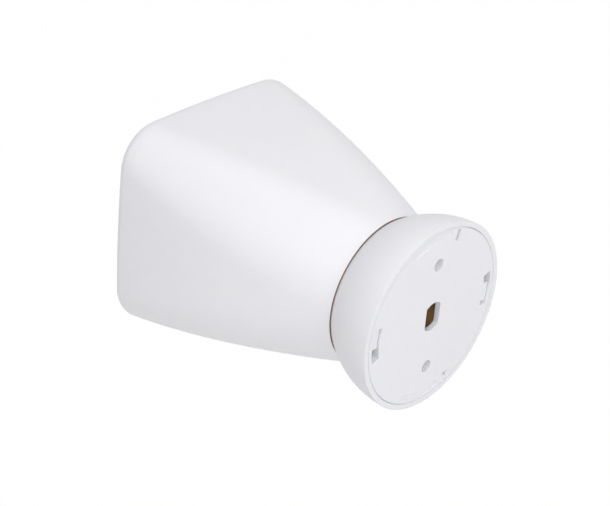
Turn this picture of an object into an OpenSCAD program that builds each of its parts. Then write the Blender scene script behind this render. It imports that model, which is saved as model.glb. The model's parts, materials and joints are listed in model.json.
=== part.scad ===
// Compact wall speaker: a tapered head on a domed wall base.
// The wall is the plane y = 0, the head points along -Y and +Z is up.
// Inside away(), z is the distance from the wall, y is up and x is unchanged.

/* [Overall] */
// Width of the head at its front
head_w = 64.4; // [62:0.2:70]
// Height of the head at its front
head_h = 59.8; // [58:0.2:66]
// Distance from the wall to the front edge of the head
head_depth = 84; // [83:0.5:92]

/* [Head shell] */
// Corner radius of the head seen from the front
corner_r = 10.8; // [9.5:0.1:12]
// Diameter of the round neck at the back of the head
neck_d = 41; // [40.4:0.2:42.4]
// How far the side flanks bulge between neck and front, 0 is straight
side_bow = 1; // [0.5:0.05:1.2]
// How far the top and bottom flanks bulge between neck and front
top_bow = 0.6; // [0.4:0.05:1.2]
// Crown in the middle of each flank
crown = 0.9; // [0.4:0.1:1.2]
// Wall thickness of the head shell
shell_wall = 2.6; // [2:0.1:3]
// Rounding of the front edge of the shell
front_round = 3.4; // [2.5:0.1:4]
// Flat land between the front rounding and the mouth
lip_land = 0.4; // [0.3:0.1:1]
// Width of the ledge that the baffle rests on
ledge_w = 1.2; // [0.8:0.1:1.6]

/* [Wall base] */
// Diameter of the dome at the wall
base_d = 52; // [51:0.5:54]
// Wall thickness of the dome
dome_wall = 2.2; // [1.8:0.1:2.4]
// Width of the dome rim that surrounds the wall plate
rim_w = 1.5; // [1.3:0.1:1.7]
// Thickness of the wall plate
plate_t = 3; // [2.6:0.1:3.4]

/* [Wall plate holes] */
// Distance between the two screw holes
screw_pitch = 30; // [26:0.5:31]
// Diameter of the screw holes
screw_hole_d = 3.4; // [3:0.1:4.2]
// Distance between the flats of the cable hole
cable_w = 5.4; // [5:0.1:6]
// Height of the cable hole
cable_h = 8; // [7:0.1:9]

/* [Bayonet] */
// Radius of the inner face of the hook posts
hook_r = 21.9; // [21.6:0.1:22.1]
// Radial thickness of a hook post
hook_t = 1.1; // [1:0.1:1.5]
// Reach of the hook foot under the ledge of the plate
hook_reach = 1.1; // [0.9:0.1:1.5]
// Thickness of the hook foot
foot_t = 1; // [0.8:0.1:1.2]
// Turn between the locked and the released position
bayonet_turn = 8; // [6:1:10]
// Angle that a hook foot covers
hook_arc = 14; // [12:1:16]

/* [Tilt joint] */
// Tilt of the head to either side
tilt_range = 18; // [12:1:18]
// Outer diameter of the hollow pivot stem
stem_d = 10.4; // [9.6:0.2:11]
// Diameter of the cable bore in the stem
stem_bore_d = 6.4; // [5.4:0.2:6.8]
// Width across the flats of the stem
stem_flats = 9.2; // [8.4:0.2:9.4]
// Thickness of the fibre liner and of the fibre seat ring
pad_t = 0.8; // [0.6:0.1:1]
// Diameter of the fibre liner in the dome
liner_d = 42; // [36:0.5:42]
// Diameter of the friction shoe
shoe_d = 19; // [18:0.5:21]
// Diameter of the clamp nut
nut_d = 17; // [15.5:0.5:18]
// Height of the clamp nut
nut_h = 2.6; // [2:0.2:3.2]
// Stroke of the wave washer
wave_h = 1; // [0.8:0.1:1.2]
// Thickness of the flange of the stem
stem_flange_t = 1.6; // [1.2:0.1:2]
// Turn of the head on the stem to either side
turn_range = 90; // [60:5:90]

/* [Front] */
// Thickness of the baffle
baffle_t = 3.5; // [3:0.1:4]
// Thickness of the baffle gasket
gasket_t = 0.8; // [0.5:0.1:1]
// Depth of the grille frame
frame_t = 8; // [7:0.5:8.5]
// Distance from the front edge back to the face of the frame
frame_set = 1; // [0.6:0.1:1.4]
// Wall of the grille frame
frame_wall = 1.7; // [1.5:0.1:1.8]
// Thickness of the perforated grille
grille_t = 0.8; // [0.6:0.1:1]
// Thickness of the cloth behind the grille
cloth_t = 0.5; // [0.4:0.1:0.6]
// Diameter of the grille perforations
perf_d = 2; // [1.6:0.1:2.2]
// Distance between the grille perforations
perf_pitch = 3.4; // [3.2:0.1:4.4]
// Distance of the corner screws from the corners of the mouth
boss_inset = 3.3; // [3.2:0.1:3.5]
// Diameter of the screw bosses in the shell
boss_d = 6; // [5.6:0.1:6.2]
// Length of the screw bosses
boss_l = 6; // [5:0.5:7]
// Diameter of the baffle screws
screw_d = 2; // [1.8:0.1:2]

/* [Driver] */
// Diameter of the driver flange
driver_d = 42; // [40:0.2:42.4]
// Diameter of the ears that hold the driver screws
ear_d = 4; // [3.8:0.1:4.2]
// Diameter of the driver screws
driver_screw_d = 1.4; // [1.2:0.1:1.6]
// Thickness of the driver flange
flange_t = 1.5; // [1.2:0.1:1.8]
// Diameter of the cone at its front
cone_d = 27; // [25:0.5:28]
// Width of the rolled surround
roll_w = 4.2; // [3.6:0.1:4.4]
// Depth of the cone
cone_depth = 8; // [7:0.5:9]
// Depth of the basket from its flange to the front plate
basket_depth = 15; // [14.5:0.5:16]
// Diameter of the basket where it meets the front plate
basket_back_d = 24; // [23:0.5:26]
// Diameter of the voice coil
coil_d = 12.4; // [12:0.2:13]
// Thickness of the front plate of the motor
front_plate_t = 2.5; // [2:0.1:3]
// Diameter of the magnet
magnet_d = 25; // [24:0.5:27]
// Height of the magnet
magnet_h = 4.5; // [4:0.5:5]
// Thickness of the back plate of the motor
back_plate_t = 2.6; // [2.2:0.1:3]

/* [Terminal board] */
// Distance from the stem flange to the board
board_rise = 4; // [3.8:0.1:4.4]
// Thickness of the board
board_t = 1.6; // [1.2:0.1:1.6]
// Width of the board
board_w = 30; // [29:0.5:31]
// Height of the board
board_h = 15; // [14:0.5:16]
// Distance of the posts from the axis
post_x = 12.4; // [12.2:0.1:12.6]
// Diameter of the posts
post_d = 4.4; // [4:0.1:4.6]
// Outer diameter of the wadding ring
wadding_d = 41; // [38:0.5:41]

/* [Hidden] */
$fn = 96;

white = [0.9, 0.9, 0.91];
fibre = [0.42, 0.27, 0.15];
steel = [0.72, 0.72, 0.74];
black = [0.13, 0.13, 0.14];
eps = 0.01;

// Clearances
run_gap = 0.3;
fit_gap = 0.2;
pin_gap = 0.06;
plate_gap = 0.09;

// Levels and radii of the wall base
dome_r = base_d / 2;
dome_in_r = dome_r - dome_wall;
plate_r = dome_r - rim_w - plate_gap;
foot_low = 0.6;
foot_high = foot_low + foot_t;
seat_level = plate_t + 0.05;
slit_low_r = hook_r - fit_gap;
slit_high_r = hook_r + hook_t + fit_gap;
foot_in_r = hook_r - hook_reach;
slot_play = 1;
window_arc = hook_arc + 2 * slot_play;
slot_arc = bayonet_turn + window_arc;
slot_step = 0.1;
window_half = window_arc / 2 - 0.4;
recess_half = bayonet_turn / 2 + 0.8;
plate_web = 1.6;
latch_r = 20.9;
recess_high = foot_high + fit_gap;
plate_rib_h = 1.6;
plate_rib_r = 18.4;
plate_boss_d = screw_hole_d + 4.4;
latch_angle = 107;
latch_w = 1.2;
latch_l = 3.1;
mark_angle = -112;
mark_r = 22.2;
mark_w = 1.1;
strip_depth = 0.35;
strip_r = plate_r - 0.9;
strip_w = 1.4;
strip_arc = 36;
strip_middles = [82, 275];
plate_rib_w = 1.4;

// Levels of the tilt joint, from the wall outwards
seam_r = dome_r + run_gap;
pad_out_r = dome_in_r - 0.02;
pad_in_r = pad_out_r - pad_t;
shoe_top_r = pad_in_r - pin_gap;
shoe_bore_r = stem_d / 2 + pin_gap;
shoe_low = sqrt(shoe_top_r * shoe_top_r - shoe_d * shoe_d / 4) - 1.6;
washer_t = 0.5;
nut_high = shoe_low - wave_h;
nut_low = nut_high - nut_h;
hub_r = 8;
hub_h = 5.6;
hub_top = seam_r + hub_h;
web_low_r = seam_r + pad_t + 0.1;
web_t = 2.2;
skirt_t = 2;
flange_low = hub_top + 0.1;
flange_high = flange_low + stem_flange_t;
stop_r = 10.2;
stop_pin_r = 0.8;
stop_pin_at = stop_r - stop_pin_r - 0.2;
stop_half = 180 - turn_range - asin(stop_pin_r / stop_pin_at) - 1;
slot_w = stem_flats + 2 * fit_gap;
slot_end_r = stem_d / 2 + fit_gap;
slot_half = dome_r * sin(tilt_range) + stem_d / 2 * cos(tilt_range) + run_gap + fit_gap;

// Levels of the head shell
neck_r = neck_d / 2;
neck_level = sqrt(seam_r * seam_r - neck_r * neck_r);
neck_in_r = neck_r - shell_wall;
neck_in_level = sqrt(seam_r * seam_r - neck_in_r * neck_in_r) + 0.05;
full_level = head_depth - front_round;
mouth_half = [for (w = [head_w, head_h]) w / 2 - crown - front_round - lip_land];
mouth_r = corner_r - front_round - lip_land;
boss_at = less(mouth_half, mouth_r - (mouth_r - boss_inset) / sqrt(2));
frame_high = head_depth - frame_set;
frame_low = frame_high - frame_t;
baffle_low = frame_low - baffle_t;
ledge_level = baffle_low - gasket_t;
shell_rings = 16;
round_rings = 5;
corner_steps = 8;
side_steps = 4;

// Levels of the driver
flange_low_s = frame_low;
ear_at = driver_d / 2 + driver_screw_d + fit_gap;
flange_high_s = flange_low_s + flange_t;
basket_low = frame_low - basket_depth;
front_plate_low = basket_low - front_plate_t;
magnet_low = front_plate_low - magnet_h;
back_plate_low = magnet_low - back_plate_t;
basket_wall = 1.1;
basket_lip = 0.8;
roll_in = cone_d / 2 - 0.6;
roll_out = roll_in + roll_w;
roll_t = 0.5;
basket_hole_r = roll_out + basket_lip;
coil_wall = 0.4;
coil_gap = 0.35;
pole_r = coil_d / 2 - coil_wall - coil_gap;
gap_r = coil_d / 2 + coil_gap;
magnet_gap = 1.6;
cone_front = flange_high_s + 0.1;
cone_back = cone_front - cone_depth;
cone_t = 0.5;
cone_steps = 8;
spider_t = 0.35;
spider_rise = 3.6;
spider_level = basket_low + spider_rise;
lug_w = 8;
lug_l = 4;
lug_t = 1.2;
ear_t = 1;
lug_gap = 1.7;

// Levels of the front
frame_corner_r = mouth_r - fit_gap - frame_wall - 1.8;
frame_in_half = less(mouth_half, fit_gap + frame_wall);
rebate = 0.8;
rebate_r = mouth_r - 1.2;
grille_set = 1;
grille_high = frame_high - grille_set;
grille_half = less(frame_in_half, 0.1 - rebate);
grille_edge = 2.6;

// Levels of the terminal board
board_low = flange_high + board_rise;
block_w = 12;
block_h = 4;
block_d = board_rise - 0.6;
board_screw_d = 1.8;

// Turns its children from the wall frame, where z leads away from the wall, into the part's frame
module away() {
    rotate([90, 0, 0]) children();
}

// Half width and half height, both made smaller
function less(half, by) = [half[0] - by, half[1] - by];

// Rectangle with true round corners
module round_rect(half, r) {
    square([2 * half[0], 2 * (half[1] - r)], center = true);
    square([2 * (half[0] - r), 2 * half[1]], center = true);
    for (sx = [-1, 1], sy = [-1, 1]) translate([sx * (half[0] - r), sy * (half[1] - r)]) circle(r);
}

// Puts its children at the four screws of the baffle
module at_bosses(level = 0) {
    for (sx = [-1, 1], sy = [-1, 1]) translate([sx * boss_at[0], sy * boss_at[1], level]) children();
}

// Flat ring between two levels
module ring(r_out, r_in, low, high) {
    translate([0, 0, low]) difference() {
        cylinder(r = r_out, h = high - low);
        translate([0, 0, -eps]) cylinder(r = r_in, h = high - low + 2 * eps);
    }
}

// Wedge of a circle around an angle, as a flat shape
module sector(r, middle, half_arc) {
    reach = r / cos(half_arc / 4);
    rotate(middle) polygon([[0, 0], for (a = levels(-half_arc, half_arc, 8)) reach * [cos(a), sin(a)]]);
}

// Piece of a flat ring around an angle
module arc_block(r_out, r_in, middle, half_arc, low, high) {
    translate([0, 0, low]) linear_extrude(high - low) intersection() {
        difference() {
            circle(r_out);
            circle(r_in);
        }
        sector(r_out + 1, middle, half_arc);
    }
}

// Layer of a hollow ball inside a round column
module ball_layer(r_out, r_in, column_r, low) {
    intersection() {
        difference() {
            sphere(r_out);
            sphere(r_in);
        }
        translate([0, 0, low]) cylinder(r = column_r, h = r_out);
    }
}

// Screw with a pan head, its seat at z = 0 and its shank pointing down
module pan_screw(d, length) {
    translate([0, 0, -length]) cylinder(d = d, h = length + eps);
    cylinder(d = 2 * d, h = 0.5 * d);
}

// Half width, half height and corner radius of the head at a distance from the wall
function taper(s) = min(1, (s - neck_level) / (full_level - neck_level));
function swell(s, half, bow) = neck_r + (half - neck_r) * (taper(s) + bow * taper(s) * (1 - taper(s)));
function half_at(s) = [swell(s, head_w / 2 - crown, side_bow), swell(s, head_h / 2 - crown, top_bow)];
function corner_at(s) = min(half_at(s)) * (1 - (1 - corner_r / min(front_half)) * taper(s)) * 0.999;

// The same for the hollow
function hollow_half(s) = [for (i = [0, 1]) min(mouth_half[i] - ledge_w, half_at(s)[i] - shell_wall)];
function hollow_corner(s) = max(1, corner_at(s) - (half_at(s)[0] - hollow_half(s)[0]));

// Point of a section, pushed out by the crown of its side
function crowned(p, half, rise) =
    let (u = p[0] / half[0], v = p[1] / half[1])
    [p[0] + rise * u * (1 - v * v), p[1] + rise * v * (1 - u * u)];

// One ring of points around the head, with points along its sides
function head_ring(half, r, s, rise) = [
    for (q = [0:3])
        let (
            flip = q % 2 == 0,
            long = (flip ? half[0] : half[1]) - r,
            tall = (flip ? half[1] : half[0]) - r,
            arc = [for (i = [0:corner_steps]) [long + r * cos(90 * i / corner_steps),
                tall + r * sin(90 * i / corner_steps)]],
            side = [for (i = [1:side_steps - 1]) [long * (1 - 2 * i / side_steps), tall + r]]
        )
        for (p = concat(arc, side))
            let (t = crowned([p[0] * cos(90 * q) - p[1] * sin(90 * q), p[0] * sin(90 * q) + p[1] * cos(90 * q)],
                half, rise))
            [t[0], t[1], s]
];

// Levels between two distances from the wall
function levels(from, to, n) = [for (i = [0:n]) from + (to - from) * i / n];

// Rings of the shell: up the outside, over the front rounding and down the inside
front_half = [head_w / 2 - crown, head_h / 2 - crown];
shell_loops = [
    for (s = levels(neck_level, full_level, shell_rings))
        head_ring(half_at(s), corner_at(s), s, crown * taper(s)),
    for (i = [1:round_rings])
        let (a = 90 * i / round_rings, inset = front_round * (1 - cos(a)))
        head_ring([for (h = front_half) h - inset], corner_r - inset, full_level + front_round * sin(a), crown),
    head_ring(mouth_half, mouth_r, head_depth, 0),
    head_ring(mouth_half, mouth_r, ledge_level, 0),
    for (s = levels(ledge_level, neck_in_level, 12))
        head_ring(hollow_half(s), hollow_corner(s), s, crown * taper(s) / 2)
];

// Closed skin over loops that follow each other around a tube wall
module loop_skin(loops) {
    m = len(loops);
    k = len(loops[0]);
    polyhedron(
        points = [for (l = loops, p = l) p],
        faces = [
            for (j = [0:m - 1], i = [0:k - 1])
                let (row = j * k, next = (j + 1) % m * k, right = (i + 1) % k)
                each [[row + i, next + right, row + right], [row + i, next + i, next + right]]
        ]
    );
}

module wall_plate() {
    color(white) away() difference() {
        union() {
            difference() {
                cylinder(r = plate_r, h = plate_t);
                translate([0, 0, plate_web]) cylinder(r = plate_rib_r - plate_rib_w, h = plate_t);
            }
            ring(plate_rib_r, plate_rib_r - plate_rib_w, plate_web, plate_t + plate_rib_h);
            for (side = [-1, 1]) translate([0, side * screw_pitch / 2, 0])
                cylinder(d = plate_boss_d, h = plate_t + plate_rib_h);
        }
        // Screw holes
        for (side = [-1, 1]) translate([0, side * screw_pitch / 2, -1])
            cylinder(d = screw_hole_d, h = plate_t + plate_rib_h + 2);
        // Cable hole with two flats
        intersection() {
            translate([0, 0, -1]) cylinder(d = cable_h, h = plate_t + 2);
            cube([cable_w, 2 * cable_h, 4 * plate_t], center = true);
        }
        // Bayonet slots: a slit for the post, a window for the foot and a recess that the foot turns into
        for (side = [0, 180]) {
            arc_block(slit_high_r, slit_low_r, side, slot_arc / 2, -1, plate_t + 1);
            arc_block(hook_r, foot_in_r - fit_gap, side - bayonet_turn / 2, window_half, -1, plate_t + 1);
            arc_block(hook_r, foot_in_r - fit_gap - slot_step, side + window_arc / 2, recess_half, -1, recess_high);
        }
        // Latch slot
        rotate(latch_angle) translate([latch_r, -latch_w / 2, -1]) cube([latch_l, latch_w, plate_t + 2]);
        // Index mark
        rotate(mark_angle) translate([mark_r, 0, -1]) cylinder(r = mark_w, h = plate_t / 2 + 1, $fn = 3);
        // Shallow strips along the edge
        for (middle = strip_middles)
            arc_block(strip_r, strip_r - strip_w, middle, strip_arc / 2, -1, strip_depth);
    }
}

module dome_base() {
    color(white) away() difference() {
        union() {
            difference() {
                intersection() {
                    sphere(dome_r);
                    cylinder(r = dome_r + 1, h = dome_r + 1);
                }
                sphere(dome_in_r);
                translate([0, 0, -1]) cylinder(r = plate_r + plate_gap, h = seat_level + 1);
            }
            // Bayonet hooks
            for (locked = [bayonet_turn / 2, 180 + bayonet_turn / 2]) {
                intersection() {
                    arc_block(hook_r + hook_t, hook_r, locked, hook_arc / 2, foot_low, dome_r / 2);
                    sphere(dome_r - 1);
                }
                arc_block(hook_r + hook_t, foot_in_r, locked, hook_arc / 2, foot_low, foot_high);
            }
        }
        tilt_slot();
    }
}

// Slot that the stem tilts in
module tilt_slot() {
    linear_extrude(2 * dome_r) {
        square([slot_w, 2 * (slot_half - slot_end_r)], center = true);
        for (side = [-1, 1]) translate([0, side * (slot_half - slot_end_r)]) intersection() {
            circle(slot_end_r);
            square([slot_w, 2 * slot_end_r], center = true);
        }
    }
}

module friction_pad() {
    color(fibre) away() difference() {
        ball_layer(pad_out_r, pad_in_r, liner_d / 2, 0);
        tilt_slot();
    }
}

module friction_shoe() {
    color(steel) away() difference() {
        intersection() {
            sphere(shoe_top_r);
            translate([0, 0, shoe_low]) cylinder(r = shoe_d / 2, h = shoe_top_r);
        }
        cylinder(r = shoe_bore_r, h = dome_r);
    }
}

module wave_washer() {
    n = 48;
    r_in = stem_d / 2 + 0.3;
    r_out = nut_d / 2 - 0.6;
    loops = [
        for (i = [0:n - 1])
            let (a = 360 * i / n, z = nut_high + (wave_h - washer_t) / 2 * (1 + sin(3 * a)))
            [for (p = [[r_in, 0], [r_in, washer_t], [r_out, washer_t], [r_out, 0]])
                [p[0] * cos(a), p[0] * sin(a), z + p[1]]]
    ];
    color(steel) away() loop_skin(loops);
}

module clamp_nut() {
    notch = 2.8;
    color([0.62, 0.47, 0.25]) away() difference() {
        translate([0, 0, nut_low]) cylinder(d = nut_d, h = nut_h);
        cylinder(r = shoe_bore_r, h = dome_r);
        // Spanner notches
        for (a = [45:90:315]) rotate(a) translate([nut_d / 2 - notch / 2, -notch / 2, nut_low - 1])
            cube([notch, notch, nut_h + 2]);
    }
}

module pivot_stem() {
    color([0.62, 0.47, 0.25]) away() difference() {
        union() {
            intersection() {
                translate([0, 0, nut_low - 0.6]) cylinder(d = stem_d, h = flange_high - nut_low + 0.6);
                union() {
                    translate([-stem_flats / 2, -stem_d, 0]) cube([stem_flats, 2 * stem_d, seam_r + 0.2]);
                    translate([-stem_d, -stem_d, seam_r + 0.2]) cube([2 * stem_d, 2 * stem_d, dome_r]);
                }
            }
            translate([0, 0, flange_low]) cylinder(r = hub_r, h = stem_flange_t);
            // Stop lug that limits the turn of the head
            arc_block(stop_r, hub_r - 1, -90, stop_half, flange_low, flange_high);
        }
        translate([0, 0, nut_low - 1]) cylinder(d = stem_bore_d, h = flange_high);
    }
}

module seat_ring() {
    color(fibre) away() difference() {
        ball_layer(seam_r + pad_t, seam_r, neck_in_r - fit_gap, 0);
        cylinder(r = hub_r + fit_gap, h = 2 * dome_r);
    }
}

module neck_cap() {
    color(white) away() difference() {
        union() {
            ball_layer(web_low_r + web_t, web_low_r, neck_in_r - fit_gap, 0);
            // Skirt that is bonded into the neck
            difference() {
                ring(neck_in_r - fit_gap, neck_in_r - fit_gap - skirt_t, 0, web_low_r - 1);
                sphere(web_low_r);
            }
            // Hub
            difference() {
                translate([0, 0, dome_r / 2]) cylinder(r = hub_r, h = hub_top - dome_r / 2);
                sphere(seam_r + 0.1);
            }
            // Stop pin
            translate([0, stop_pin_at, web_low_r]) cylinder(r = stop_pin_r, h = flange_high - web_low_r);
            // Posts of the terminal board
            for (side = [-1, 1]) translate([side * post_x, 0, web_low_r - 2]) difference() {
                cylinder(d = post_d, h = board_low - web_low_r + 2);
                translate([0, 0, board_low - web_low_r - 3]) cylinder(d = 1.8, h = 6);
            }
        }
        cylinder(r = stem_d / 2 + pin_gap, h = 2 * dome_r);
    }
}

module enclosure_shell() {
    color(white) away() difference() {
        union() {
            loop_skin(shell_loops);
            // Bosses for the baffle screws
            at_bosses(ledge_level - boss_l) cylinder(d = boss_d, h = boss_l);
        }
        at_bosses(ledge_level - boss_l + 1) cylinder(d = screw_d, h = boss_l);
    }
}

module terminal_board() {
    color(fibre) away() difference() {
        translate([-board_w / 2, -board_h / 2, board_low]) cube([board_w, board_h, board_t]);
        translate([0, 0, board_low - 1]) cylinder(d = stem_bore_d, h = board_t + 2);
        for (side = [-1, 1]) translate([side * post_x, 0, board_low - 1])
            cylinder(d = board_screw_d + 0.6, h = board_t + 2);
    }
}

module terminal_block() {
    block_y = board_h / 2 - block_h / 2;
    color(black) away() for (y = [-block_y, block_y]) translate([0, y, board_low - block_d]) difference() {
        translate([-block_w / 2, -block_h / 2, 0]) cube([block_w, block_h, block_d]);
        // Holes for the wire ends
        for (x = [-block_w / 4, block_w / 4]) translate([x, 0, block_d / 2]) rotate([90, 0, 0])
            cylinder(d = block_d / 2, h = block_h + 2, center = true);
    }
}

module terminal_screws() {
    color(steel) away() for (side = [-1, 1]) translate([side * post_x, 0, board_low + board_t])
        pan_screw(board_screw_d, board_t + 2.6);
}

module wadding() {
    low = board_low + board_t + board_screw_d;
    color([0.93, 0.92, 0.88]) away() ring(wadding_d / 2, magnet_d / 2 + run_gap, low, basket_low - fit_gap);
}

module baffle_gasket() {
    color(black) away() translate([0, 0, ledge_level]) linear_extrude(gasket_t) difference() {
        union() {
            difference() {
                round_rect(less(mouth_half, fit_gap), mouth_r - fit_gap);
                round_rect(less(mouth_half, 2 * ledge_w), mouth_r - 2 * ledge_w);
            }
            at_bosses() circle(d = boss_d - 2 * fit_gap);
        }
        at_bosses() circle(d = screw_d + fit_gap);
    }
}

module baffle() {
    color(black) away() translate([0, 0, baffle_low]) linear_extrude(baffle_t) difference() {
        round_rect(less(mouth_half, fit_gap), mouth_r - fit_gap);
        circle(basket_hole_r + fit_gap);
        at_bosses() circle(d = screw_d + fit_gap);
        for (a = [45:90:315]) rotate(a) translate([ear_at, 0]) circle(d = driver_screw_d + 0.1);
    }
}

module baffle_screws() {
    length = baffle_t + gasket_t + boss_l - 1.4;
    color(steel) away() at_bosses(frame_low) pan_screw(screw_d, length);
}

module driver_basket() {
    waist_r = basket_back_d / 2;
    window_arc = 28;
    window_low = basket_low + basket_wall + 0.8;
    edge = 0.4;
    color([0.2, 0.2, 0.21]) away() difference() {
        union() {
            rotate_extrude() polygon([
                [gap_r, basket_low], [waist_r, basket_low], [waist_r + 1, basket_low + basket_wall],
                [basket_hole_r, flange_low_s - 3], [basket_hole_r, flange_low_s],
                [driver_d / 2, flange_low_s], [driver_d / 2, flange_high_s - edge],
                [driver_d / 2 - edge, flange_high_s],
                [basket_hole_r - 1, flange_high_s], [basket_hole_r - basket_wall, flange_low_s - 2.6],
                [waist_r, basket_low + basket_wall], [gap_r, basket_low + basket_wall]
            ]);
            // Ears for the screws
            for (a = [45:90:315]) rotate(a) translate([ear_at, 0, flange_low_s])
                cylinder(d = ear_d, h = ear_t);
        }
        // Windows between the legs
        for (a = [0:90:270]) translate([0, 0, window_low]) linear_extrude(flange_low_s - 4 - window_low)
            difference() {
                sector(driver_d / 2, a, window_arc);
                circle(waist_r - 2);
            }
        for (a = [45:90:315]) rotate(a) translate([ear_at, 0, flange_low_s - 1])
            cylinder(d = driver_screw_d + fit_gap, h = flange_t + 2);
    }
}

module front_plate() {
    color(steel) away() ring(basket_back_d / 2, gap_r, front_plate_low, basket_low);
}

module magnet() {
    color([0.18, 0.18, 0.19]) away() ring(magnet_d / 2, gap_r + magnet_gap, magnet_low, front_plate_low);
}

module back_plate() {
    bevel = 1;
    color(steel) away() difference() {
        union() {
            translate([0, 0, back_plate_low]) cylinder(d = basket_back_d, h = back_plate_t);
            translate([0, 0, magnet_low - eps]) cylinder(r = pole_r, h = basket_low - magnet_low);
        }
        // Bevel around the back
        translate([0, 0, back_plate_low]) rotate_extrude() polygon([
            [basket_back_d / 2 - bevel, -eps], [basket_back_d / 2 + bevel, -eps],
            [basket_back_d / 2 + bevel, 2 * bevel]
        ]);
    }
}

module voice_coil() {
    color([0.6, 0.35, 0.16]) away()
        ring(coil_d / 2, coil_d / 2 - coil_wall, front_plate_low - 0.8, cone_back + 1);
}

module spider() {
    r_in = coil_d / 2;
    r_out = basket_back_d / 2 - 0.4;
    amp = 0.5;
    wave = [for (t = levels(0, 1, 24)) [r_in + (r_out - r_in) * t, spider_level + amp * sin(360 * 3 * t)]];
    color([0.8, 0.62, 0.3]) away() {
        rotate_extrude() polygon(concat(wave, [for (i = [len(wave) - 1:-1:0]) wave[i] + [0, spider_t]]));
        // Rim that is glued into the basket
        ring(r_out + 0.2, r_out - 0.8, basket_low + basket_wall, spider_level + 0.2);
    }
}

// Radius and level of the gently curved cone, t runs from the voice coil to the surround
function cone_r(t) = coil_d / 2 + (cone_d / 2 - coil_d / 2) * (0.72 * t + 0.28 * t * t);
function cone_level(t) = cone_back + cone_depth * t - 0.6 * t * (1 - t);

module cone() {
    flank = [for (t = levels(0, 1, cone_steps)) [cone_r(t), cone_level(t)]];
    color(black) away() rotate_extrude()
        polygon(concat(flank, [for (i = [cone_steps:-1:0]) flank[i] + [0, cone_t]]));
}

module surround() {
    middle = (roll_in + roll_out) / 2;
    roll_r = (roll_out - roll_in) / 2;
    color([0.1, 0.1, 0.1]) away() rotate_extrude() translate([0, cone_front + cone_t]) difference() {
        union() {
            translate([middle, 0]) circle(roll_r);
            translate([roll_in - 1.6, 0]) square([2, roll_t]);
            translate([roll_out - 0.4, 0]) square([basket_lip + 0.6, roll_t]);
        }
        translate([middle, 0]) circle(roll_r - roll_t);
        translate([0, -2 * roll_r]) square([2 * roll_out, 2 * roll_r]);
    }
}

module dust_cap() {
    cap_r = cone_r(0.2);
    rise = 2.6;
    ball_r = (cap_r * cap_r + rise * rise) / (2 * rise);
    seat = cone_level(0.2) + cone_t + 0.02;
    color([0.16, 0.16, 0.17]) away() intersection() {
        translate([0, 0, seat + rise - ball_r]) difference() {
            sphere(ball_r);
            sphere(ball_r - 0.4);
        }
        translate([0, 0, seat]) cylinder(r = cap_r + 1, h = rise + 1);
    }
}

module driver_terminals() {
    color(fibre) away() rotate(45)
        translate([basket_back_d / 2 + lug_gap, -lug_w / 2, basket_low + basket_wall])
        cube([lug_l, lug_w, lug_t]);
}

module driver_screws() {
    color(steel) away() for (a = [45:90:315]) rotate(a) translate([ear_at, 0, flange_low_s + ear_t])
        pan_screw(driver_screw_d, ear_t + baffle_t - 1);
}

module grille_frame() {
    color(white) away() difference() {
        translate([0, 0, frame_low]) linear_extrude(frame_t)
            round_rect(less(mouth_half, fit_gap), mouth_r - fit_gap);
        translate([0, 0, frame_low - 1]) linear_extrude(frame_t + 2)
            round_rect(frame_in_half, frame_corner_r);
        // Rebate for the grille and its cloth
        translate([0, 0, grille_high - grille_t - cloth_t]) linear_extrude(frame_t)
            round_rect(less(frame_in_half, -rebate), rebate_r);
    }
}

module grille_cloth() {
    color([0.8, 0.8, 0.82]) away() translate([0, 0, grille_high - grille_t - cloth_t]) linear_extrude(cloth_t)
        round_rect(grille_half, rebate_r);
}

module grille() {
    reach = less(grille_half, grille_edge);
    row_h = perf_pitch * sin(60);
    cols = floor(reach[0] / perf_pitch);
    rows = floor(reach[1] / row_h);
    color(white) away() translate([0, 0, grille_high - grille_t]) linear_extrude(grille_t) difference() {
        round_rect(grille_half, rebate_r);
        // Staggered rows of holes
        for (j = [-rows:rows], i = [-cols:cols - abs(j) % 2])
            translate([(i + abs(j) % 2 / 2) * perf_pitch, j * row_h]) circle(d = perf_d, $fn = 20);
    }
}

wall_plate();
dome_base();
friction_pad();
friction_shoe();
wave_washer();
clamp_nut();
pivot_stem();
seat_ring();
neck_cap();
enclosure_shell();
terminal_board();
terminal_block();
terminal_screws();
wadding();
baffle_gasket();
baffle();
baffle_screws();
driver_basket();
front_plate();
magnet();
back_plate();
voice_coil();
spider();
cone();
surround();
dust_cap();
driver_terminals();
driver_screws();
grille_frame();
grille_cloth();
grille();
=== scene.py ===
import json
import math
import bmesh
import bpy
from mathutils import Matrix, Vector


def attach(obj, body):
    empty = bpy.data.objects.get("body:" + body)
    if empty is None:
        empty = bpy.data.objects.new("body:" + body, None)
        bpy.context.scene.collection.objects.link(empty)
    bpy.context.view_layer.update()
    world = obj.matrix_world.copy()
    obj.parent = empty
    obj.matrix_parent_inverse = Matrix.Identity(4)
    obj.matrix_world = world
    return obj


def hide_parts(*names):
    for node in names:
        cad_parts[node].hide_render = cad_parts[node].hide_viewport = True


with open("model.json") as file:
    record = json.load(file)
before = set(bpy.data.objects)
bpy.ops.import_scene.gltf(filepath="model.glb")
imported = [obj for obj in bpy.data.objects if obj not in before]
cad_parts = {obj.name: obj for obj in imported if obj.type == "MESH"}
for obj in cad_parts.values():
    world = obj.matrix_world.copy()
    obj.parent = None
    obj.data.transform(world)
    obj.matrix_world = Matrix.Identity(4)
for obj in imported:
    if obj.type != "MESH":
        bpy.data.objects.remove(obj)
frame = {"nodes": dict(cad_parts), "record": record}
nodes = frame["nodes"]
scene = bpy.context.scene
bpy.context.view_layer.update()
mm = 0.001


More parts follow.
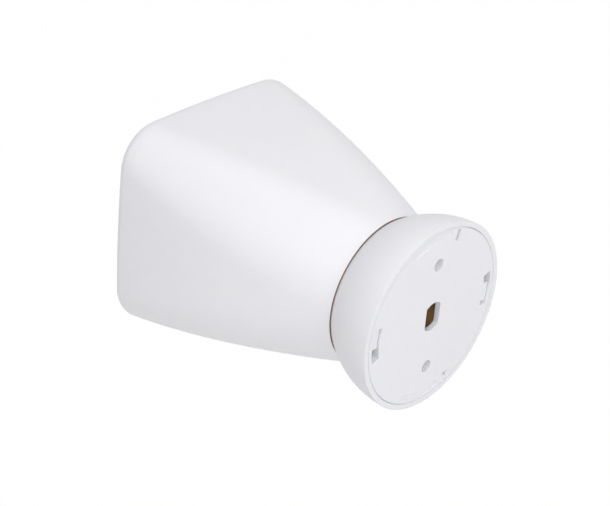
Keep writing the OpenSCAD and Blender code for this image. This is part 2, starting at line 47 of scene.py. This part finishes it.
# Turns a finished bmesh into a smooth piece that rides on a body
def newPiece(name, bm, body, replaced=None, sharp=35):
    mesh = bpy.data.meshes.new(name)
    bm.to_mesh(mesh)
    bm.free()
    piece = bpy.data.objects.new(name, mesh)
    scene.collection.objects.link(piece)
    for face in mesh.polygons:
        face.use_smooth = True
    mesh.set_sharp_from_angle(angle=math.radians(sharp))
    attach(piece, body)
    if replaced:
        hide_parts(replaced)
    return piece


# One output of a shader node, with arithmetic on it
class Wire:
    def __init__(self, graph, socket):
        self.graph = graph
        self.socket = socket

    def calc(self, operation, first, second=0.0):
        return self.graph.node("ShaderNodeMath", {"operation": operation}, {0: first, 1: second})

    def __add__(self, other):
        return self.calc("ADD", self, other)

    def __radd__(self, other):
        return self.calc("ADD", other, self)

    def __sub__(self, other):
        return self.calc("SUBTRACT", self, other)

    def __rsub__(self, other):
        return self.calc("SUBTRACT", other, self)

    def __mul__(self, other):
        return self.calc("MULTIPLY", self, other)

    def __rmul__(self, other):
        return self.calc("MULTIPLY", other, self)

    def __truediv__(self, other):
        return self.calc("DIVIDE", self, other)

    def __rtruediv__(self, other):
        return self.calc("DIVIDE", other, self)

    def __neg__(self):
        return self.calc("MULTIPLY", self, -1.0)

    def power(self, other):
        return self.calc("POWER", self, other)

    def sine(self):
        return self.calc("SINE", self)

    def beside(self, name):      # another output of the same node
        return Wire(self.graph, self.socket.node.outputs[name])


# A node tree that is written as expressions
class Graph:
    def __init__(self, tree):
        self.tree = tree

    def node(self, kind, settings=None, values=None, output=0):
        made = self.tree.nodes.new(kind)
        for key, value in (settings or {}).items():
            setattr(made, key, value)
        for key, value in (values or {}).items():
            self.feed(made.inputs[key], value)
        return Wire(self, made.outputs[output])

    def feed(self, socket, value):
        if isinstance(value, Wire):
            self.tree.links.new(value.socket, socket)
        else:
            socket.default_value = value

    def ramp(self, value, low, high, outLow=0.0, outHigh=1.0):
        return self.node("ShaderNodeMapRange", None, {
            "Value": value, "From Min": low, "From Max": high, "To Min": outLow, "To Max": outHigh})

    def mix(self, amount, first, second):
        return self.node("ShaderNodeMix", {"data_type": "RGBA"}, {"Factor": amount, 6: first, 7: second}, 2)

    def vector(self, operation, first, second=(0.0, 0.0, 0.0), output=0):
        return self.node("ShaderNodeVectorMath", {"operation": operation}, {0: first, 1: second}, output)

    def background(self, seen, plain):      # plain light, and pure white where a ray sees it
        path = self.node("ShaderNodeLightPath", output="Is Camera Ray")
        return self.node("ShaderNodeMixShader", None, {
            0: (path + path.beside("Is Glossy Ray") + path.beside("Is Transmission Ray")) * seen["share"],
            1: plain,
            2: self.node(seen["kind"], None, {"Color": tone(1, 1, 1), "Strength": 1.0})})


# Node tree of a material, with its usual textures
class Shader(Graph):
    def __init__(self, name):
        self.material = bpy.data.materials.new(name)
        self.material.use_nodes = True
        super().__init__(self.material.node_tree)
        self.bsdf = self.tree.nodes["Principled BSDF"]
        self.place = self.node("ShaderNodeTexCoord", output="Object")

    def noise(self, scale, detail=2.0, rough=0.5, place=None):
        return self.node("ShaderNodeTexNoise", None, {
            "Vector": place or self.place, "Scale": scale, "Detail": detail, "Roughness": rough})

    def axes(self, place=None):
        first = self.node("ShaderNodeSeparateXYZ", None, {0: place or self.place})
        return first, first.beside("Y"), first.beside("Z")

    def bump(self, height, distance, strength=1.0, under=None):
        values = {"Height": height, "Distance": distance, "Strength": strength}
        if under:
            values["Normal"] = under
        return self.node("ShaderNodeBump", None, values)

    def softEdge(self, radius):
        return self.node("ShaderNodeBevel", {"samples": 6}, {"Radius": radius})

    def set(self, **values):
        for key, value in values.items():
            self.feed(self.bsdf.inputs[key.replace("_", " ")], value)
        return self.material


def tone(red, green, blue):
    return (red, green, blue, 1.0)


# White moulded plastic: fine spark texture of the tool, faint flow shading and softened edges
plasticLook = {"colour": (0.856, 0.852, 0.884), "shade": (0.832, 0.828, 0.862), "rough": 0.4,
               "grain": {"scale": 5200.0, "height": 0.012 * mm, "strength": 0.5, "rough": 0.07},
               "flow": {"scale": 38.0, "rough": 0.05},
               "glow": {"weight": 0.25, "radius": (1.0, 0.72, 0.55), "scale": 0.9 * mm}}


def whitePlastic(name, edge=0.25 * mm, seam=None):
    look = plasticLook
    sh = Shader(name)
    grain = sh.noise(look["grain"]["scale"], 3.0, 0.6)
    flow = sh.noise(look["flow"]["scale"])
    colour = sh.mix(flow, tone(*look["colour"]), tone(*look["shade"]))
    if seam:
        reach = sh.vector("LENGTH", sh.place, output=1)
        rim = sh.ramp(reach, seam["from"], seam["to"], 1.0, 0.0)
        colour = sh.mix(rim, colour, tone(*seam["colour"]))
    rough = look["rough"] + look["grain"]["rough"] * (grain - 0.5) + look["flow"]["rough"] * (flow - 0.5)
    normal = sh.bump(grain, look["grain"]["height"], look["grain"]["strength"], sh.softEdge(edge))
    glow = look["glow"]
    return sh.set(Base_Color=colour, Roughness=rough, Normal=normal, Subsurface_Weight=glow["weight"],
                  Subsurface_Radius=glow["radius"], Subsurface_Scale=glow["scale"])


# Dull material between two tones, with a grain that also moves its roughness
matteLook = {"detail": 4.0, "rough": 0.65, "strength": 0.6, "roughSwing": 0.12}


def matte(name, colour, shade, rough, scale, bumpHeight, edge=0.12 * mm):
    look = matteLook
    sh = Shader(name)
    grain = sh.noise(scale, look["detail"], look["rough"])
    colourOut = sh.mix(grain, tone(*colour), tone(*shade))
    normal = sh.bump(grain, bumpHeight, look["strength"], sh.softEdge(edge))
    return sh.set(Base_Color=colourOut, Roughness=rough + look["roughSwing"] * (grain - 0.5), Normal=normal)


# Turned or plated metal with rings around the speaker's axis
turnedLook = {"stain": 220.0, "height": 0.003 * mm, "strength": 0.5, "roughSwing": 0.15, "edge": 0.12 * mm}


def turned(name, colour, shade, rough, pitch=0.12 * mm):
    look = turnedLook
    sh = Shader(name)
    x, _, z = sh.axes()
    radius = (x * x + z * z).power(0.5)
    rings = (radius * (2 * math.pi / pitch)).sine()
    stain = sh.noise(look["stain"], 4.0, 0.6)
    colourOut = sh.mix(stain, tone(*colour), tone(*shade))
    normal = sh.bump(rings, look["height"], look["strength"], sh.softEdge(look["edge"]))
    return sh.set(Base_Color=colourOut, Roughness=rough + look["roughSwing"] * (stain - 0.5),
                  Metallic=1.0, Normal=normal)


looks = {
    "white_plastic": whitePlastic("moulded white"),
    "brown_fibre": matte("pressed fibre", (0.40, 0.20, 0.075), (0.50, 0.27, 0.11), 0.8, 2600.0, 0.05 * mm),
    "bronze": turned("turned bronze", (0.50, 0.31, 0.13), (0.40, 0.23, 0.09), 0.42),
    "zinc_steel": turned("zinc plated steel", (0.66, 0.67, 0.70), (0.56, 0.57, 0.60), 0.34),
    "black_plastic": matte("black moulded",
                           (0.035, 0.035, 0.038), (0.05, 0.05, 0.053), 0.55, 4200.0, 0.02 * mm),
    "board": matte("phenolic board", (0.36, 0.21, 0.10), (0.27, 0.15, 0.07), 0.55, 900.0, 0.015 * mm),
    "wadding": matte("wadding", (0.80, 0.79, 0.75), (0.66, 0.65, 0.61), 0.95, 1500.0, 0.5 * mm, 0.6 * mm),
    "foam": matte("black foam", (0.03, 0.03, 0.03), (0.06, 0.06, 0.06), 0.95, 2600.0, 0.12 * mm),
    "black_steel": matte("black powder coat",
                         (0.03, 0.03, 0.033), (0.045, 0.045, 0.05), 0.5, 3000.0, 0.02 * mm),
    "ferrite": matte("ferrite", (0.075, 0.075, 0.08), (0.11, 0.11, 0.115), 0.6, 2400.0, 0.04 * mm),
    "copper_coil": turned("copper winding", (0.60, 0.27, 0.12), (0.5, 0.21, 0.09), 0.4, 0.22 * mm),
    "spider_cloth": matte("treated cloth", (0.62, 0.38, 0.12), (0.72, 0.48, 0.2), 0.85, 3200.0, 0.06 * mm),
    "cone_paper": matte("coated paper",
                        (0.035, 0.035, 0.038), (0.055, 0.055, 0.06), 0.75, 2400.0, 0.05 * mm),
    "rubber": matte("soft rubber", (0.022, 0.022, 0.023), (0.03, 0.03, 0.031), 0.5, 3600.0, 0.008 * mm),
    "grille_cloth": matte("acoustic cloth",
                          (0.40, 0.40, 0.41), (0.30, 0.30, 0.31), 0.9, 4200.0, 0.06 * mm),
    "grille_steel": matte("white powder coat",
                          (0.84, 0.84, 0.85), (0.78, 0.78, 0.79), 0.45, 3600.0, 0.02 * mm),
}
slotOf = {part["node"]: part["material_slot"] for part in frame["record"]["subparts"]}
for nodeName, nodeObject in nodes.items():
    nodeObject.data.materials.clear()
    nodeObject.data.materials.append(looks[slotOf[nodeName]])
print("materials set")

# Head shell: a smooth loft from the round neck to the rounded front, sizes in mm
shellSize = {
    "width": 64.4, "height": 59.8, "depth": 83.99, "corner": 10.8, "neck": 41.0, "sideBow": 1.0,
    "topBow": 0.6, "crown": 0.9, "wall": 2.6, "frontRound": 3.4, "lip": 0.4, "ledge": 1.2,
    "ledgeLevel": 70.7, "seam": 26.3, "neckRound": 0.25, "mouthRound": 0.2, "neckGap": 0.05,
    "steps": 256, "neckRings": 3, "flankRings": 30, "roundRings": 10, "hollowRings": 14,
    "boss": {"inset": 3.3, "outer": 2.6, "hole": 0.9, "length": 7.0, "floor": 1.0, "tip": 0.05,
             "steps": 24}}
seamPaint = {"from": 26.33 * mm, "to": 26.40 * mm, "colour": (0.24, 0.13, 0.07)}


# Distance from the axis to a rounded rectangle in one direction
def reachAt(angle, half, corner):
    across = abs(math.cos(angle))
    tall = abs(math.sin(angle))
    inner = (half[0] - corner, half[1] - corner)
    if half[0] * tall <= inner[1] * across:
        return half[0] / across
    if half[1] * across <= inner[0] * tall:
        return half[1] / tall
    along = inner[0] * across + inner[1] * tall
    return along + math.sqrt(max(0.0, along * along - inner[0] ** 2 - inner[1] ** 2 + corner * corner))


# Closed skin over rings of (half sizes, corner radius, level, crown) around a tube wall
def skinRings(bm, rings, steps, centre=(0.0, 0.0)):
    turn = bm.verts.layers.float.get("turn") or bm.verts.layers.float.new("turn")
    ringVerts = bmesh.ops.create_circle(bm, cap_ends=False, segments=steps, radius=1.0)["verts"]
    for v in ringVerts:
        v[turn] = math.atan2(v.co.y, v.co.x)
    firstEdges = list({e for v in ringVerts for e in v.link_edges})
    edges = firstEdges
    for count, (half, corner, level, crown) in enumerate(rings):
        if count:
            grown = bmesh.ops.extrude_edge_only(bm, edges=edges)["geom"]
            ringVerts = [g for g in grown if isinstance(g, bmesh.types.BMVert)]
            kept = set(ringVerts)
            edges = [g for g in grown if isinstance(g, bmesh.types.BMEdge) and set(g.verts) <= kept]
        for v in ringVerts:
            reach = reachAt(v[turn], half, corner)
            x = reach * math.cos(v[turn])
            z = reach * math.sin(v[turn])
            u = x / half[0]
            w = z / half[1]
            x += crown * u * (1 - w * w)
            z += crown * w * (1 - u * u)
            v.co = Vector((centre[0] + x, -level, centre[1] + z)) * mm
    bmesh.ops.bridge_loops(bm, edges=firstEdges + edges)


def makeShell(size):
    neckR = size["neck"] / 2
    neckLevel = math.sqrt(size["seam"] ** 2 - neckR ** 2)
    neckInR = neckR - size["wall"]
    neckInLevel = math.sqrt(size["seam"] ** 2 - neckInR ** 2) + size["neckGap"]
    fullLevel = size["depth"] - size["frontRound"]
    front = [size["width"] / 2 - size["crown"], size["height"] / 2 - size["crown"]]
    mouth = [h - size["frontRound"] - size["lip"] for h in front]
    mouthR = size["corner"] - size["frontRound"] - size["lip"]
    bows = [size["sideBow"], size["topBow"]]

    def taper(s):
        return min(1.0, (s - neckLevel) / (fullLevel - neckLevel))

    def flank(s):
        t = taper(s)
        half = [neckR + (h - neckR) * (t + bow * t * (1 - t)) for h, bow in zip(front, bows)]
        return half, min(half) * (1 - (1 - size["corner"] / min(front)) * t)

    def hollow(s):
        half, corner = flank(s)
        inner = [min(m - size["ledge"], h - size["wall"]) for m, h in zip(mouth, half)]
        return inner, max(1.0, corner - (half[0] - inner[0]))

    rings = []
    edge = size["neckRound"]
    for k in range(size["neckRings"] + 1):
        a = math.pi / 2 * k / size["neckRings"]
        r = neckR - edge + edge * math.sin(a)
        rings.append(([r, r], r, neckLevel + edge * (1 - math.cos(a)), 0.0))
    for k in range(1, size["flankRings"] + 1):
        s = neckLevel + edge + (fullLevel - neckLevel - edge) * k / size["flankRings"]
        rings.append((*flank(s), s, size["crown"] * taper(s)))
    for k in range(1, size["roundRings"] + 1):
        a = math.pi / 2 * k / size["roundRings"]
        cut = size["frontRound"] * (1 - math.cos(a))
        rings.append(([h - cut for h in front], size["corner"] - cut,
                      fullLevel + size["frontRound"] * math.sin(a), size["crown"]))
    edge = size["mouthRound"]
    rings.append(([h + edge for h in mouth], mouthR + edge, size["depth"], 0.0))
    rings.append((mouth, mouthR, size["depth"] - edge, 0.0))
    rings.append((mouth, mouthR, size["ledgeLevel"], 0.0))
    for k in range(size["hollowRings"] + 1):
        s = size["ledgeLevel"] + (neckInLevel - size["ledgeLevel"]) * k / size["hollowRings"]
        rings.append((*hollow(s), s, size["crown"] * taper(s) / 2))
    bm = bmesh.new()
    skinRings(bm, rings, size["steps"])
    boss = size["boss"]
    top = size["ledgeLevel"]
    low = top - boss["length"]
    floor = low + boss["floor"]
    outline = [(boss["hole"], floor), (boss["hole"], top), (boss["outer"], top), (boss["outer"], low),
               (boss["tip"], low), (boss["tip"], floor)]
    wall = [([r, r], r, level, 0.0) for r, level in outline]
    at = [m - mouthR + (mouthR - boss["inset"]) / math.sqrt(2) for m in mouth]
    for right in (-1, 1):
        for up in (-1, 1):
            skinRings(bm, wall, boss["steps"], (right * at[0], up * at[1]))
    bmesh.ops.recalc_face_normals(bm, faces=bm.faces)
    return newPiece("enclosureShell", bm, "head", "enclosure_shell", 40)


shell = makeShell(shellSize)
shell.data.materials.append(whitePlastic("moulded white shell", seam=seamPaint))
print("head shell made")

# Camera at the photograph's place, found by fitting the base and the head
cameraFit = {"azimuth": 130.27, "elevation": 29.728, "roll": 5.064, "distance": 0.521, "focal": 1971.9,
             "across": -0.001767, "along": -0.000048, "aim": (0.0, -0.0416, 0.0),
             "sensor": 36.0, "pictureWidth": 610}


def placeCamera(fit):
    az = math.radians(fit["azimuth"])
    el = math.radians(fit["elevation"])
    roll = math.radians(fit["roll"])
    back = Vector((math.sin(az) * math.cos(el), -math.cos(az) * math.cos(el), math.sin(el)))
    right = (-back).cross(Vector((0, 0, 1))).normalized()
    up = right.cross(-back).normalized()
    rolledRight = math.cos(roll) * right + math.sin(roll) * up
    rolledUp = -math.sin(roll) * right + math.cos(roll) * up
    aim = Vector(fit["aim"]) + fit["across"] * rolledRight + fit["along"] * rolledUp
    data = bpy.data.cameras.new("camera")
    data.sensor_width = fit["sensor"]
    data.lens = fit["focal"] / fit["pictureWidth"] * fit["sensor"]
    data.clip_start = 0.01
    data.clip_end = 20.0
    camera = bpy.data.objects.new("camera", data)
    scene.collection.objects.link(camera)
    turn = Matrix((rolledRight, rolledUp, back)).transposed().to_4x4()
    camera.matrix_world = Matrix.Translation(aim + back * fit["distance"]) @ turn
    scene.camera = camera


placeCamera(cameraFit)
print("camera placed")

# Floor, world and lamps of a plain white studio
studio = {"floor": -0.30, "floorSize": 6.0, "floorTone": (0.85, 0.85, 0.85), "world": 0.53, "glow": 0.99,
          "lampAim": (0.0, -0.04, 0.0), "lamps": {
              "top softbox": {"place": (0.0, -0.1, 1.0), "size": 0.7, "power": 1.15},
              "wall softbox": {"place": (0.05, 0.7, 0.5), "size": 0.6, "power": 1.95},
              "front lamp": {"place": (0.622, 0.452, 0.466), "size": 0.1, "power": 2.68}}}


def addLamp(name, aim, place, size, power):
    data = bpy.data.lights.new(name, "AREA")
    data.shape = "SQUARE"
    data.size = size
    data.energy = power
    lamp = bpy.data.objects.new(name, data)
    scene.collection.objects.link(lamp)
    lamp.location = place
    lamp.rotation_euler = (Vector(aim) - Vector(place)).to_track_quat("-Z", "Y").to_euler()


def makeStudio(values):
    bm = bmesh.new()
    bmesh.ops.create_grid(bm, x_segments=1, y_segments=1, size=values["floorSize"])
    bmesh.ops.translate(bm, verts=bm.verts, vec=(0, 0, values["floor"]))
    mesh = bpy.data.meshes.new("floor")
    bm.to_mesh(mesh)
    bm.free()
    floor = bpy.data.objects.new("floor", mesh)
    scene.collection.objects.link(floor)
    sh = Shader("studio floor")
    sh.set(Base_Color=tone(*values["floorTone"]), Roughness=0.9)
    seen = {"share": values["glow"], "kind": "ShaderNodeEmission"}
    sh.feed(sh.tree.nodes["Material Output"].inputs[0], sh.background(seen, Wire(sh, sh.bsdf.outputs[0])))
    mesh.materials.append(sh.material)

    world = bpy.data.worlds.new("studio")
    scene.world = world
    world.use_nodes = True
    sky = Graph(world.node_tree)
    plain = sky.node("ShaderNodeBackground", None, {"Color": tone(1, 1, 1), "Strength": values["world"]})
    seen = {"share": 1.0, "kind": "ShaderNodeBackground"}
    sky.feed(sky.tree.nodes["World Output"].inputs[0], sky.background(seen, plain))
    for name, lamp in values["lamps"].items():
        addLamp(name, values["lampAim"], **lamp)


makeStudio(studio)
scene.view_settings.view_transform = "Standard"
print("studio set")
